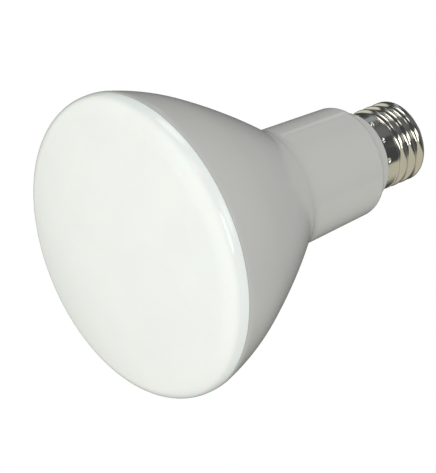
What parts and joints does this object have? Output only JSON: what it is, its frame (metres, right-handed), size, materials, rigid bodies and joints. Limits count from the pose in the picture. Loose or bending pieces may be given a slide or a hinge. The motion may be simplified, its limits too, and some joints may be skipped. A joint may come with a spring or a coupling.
{
  "type": "reflector bulb",
  "caption": "Reflector lamp with a wide milky face, a grey bowl-shaped housing with a tapered neck, and a medium screw cap with a centre contact",
  "frame": {"origin": "the lowest point of the diffuser, on the lamp's axis, with the lamp standing on its face", "axes": "+Z runs along the lamp's axis from the face to the centre contact; X and Y are square to it"},
  "size_m": [0.0952, 0.0952, 0.1254],
  "materials": {
    "diffuser": "milky white, satin gloss",
    "housing": "light grey, satin",
    "cap_metal": "bright nickel plate",
    "insulator": "black, moulded",
    "contact_metal": "tinned, satin"
  },
  "bodies": {
    "root": {"diffuser": "diffuser", "housing": "housing", "screw_shell": "cap_metal", "base_insulator": "insulator", "centre_contact": "contact_metal"}
  },
  "joints": []
}
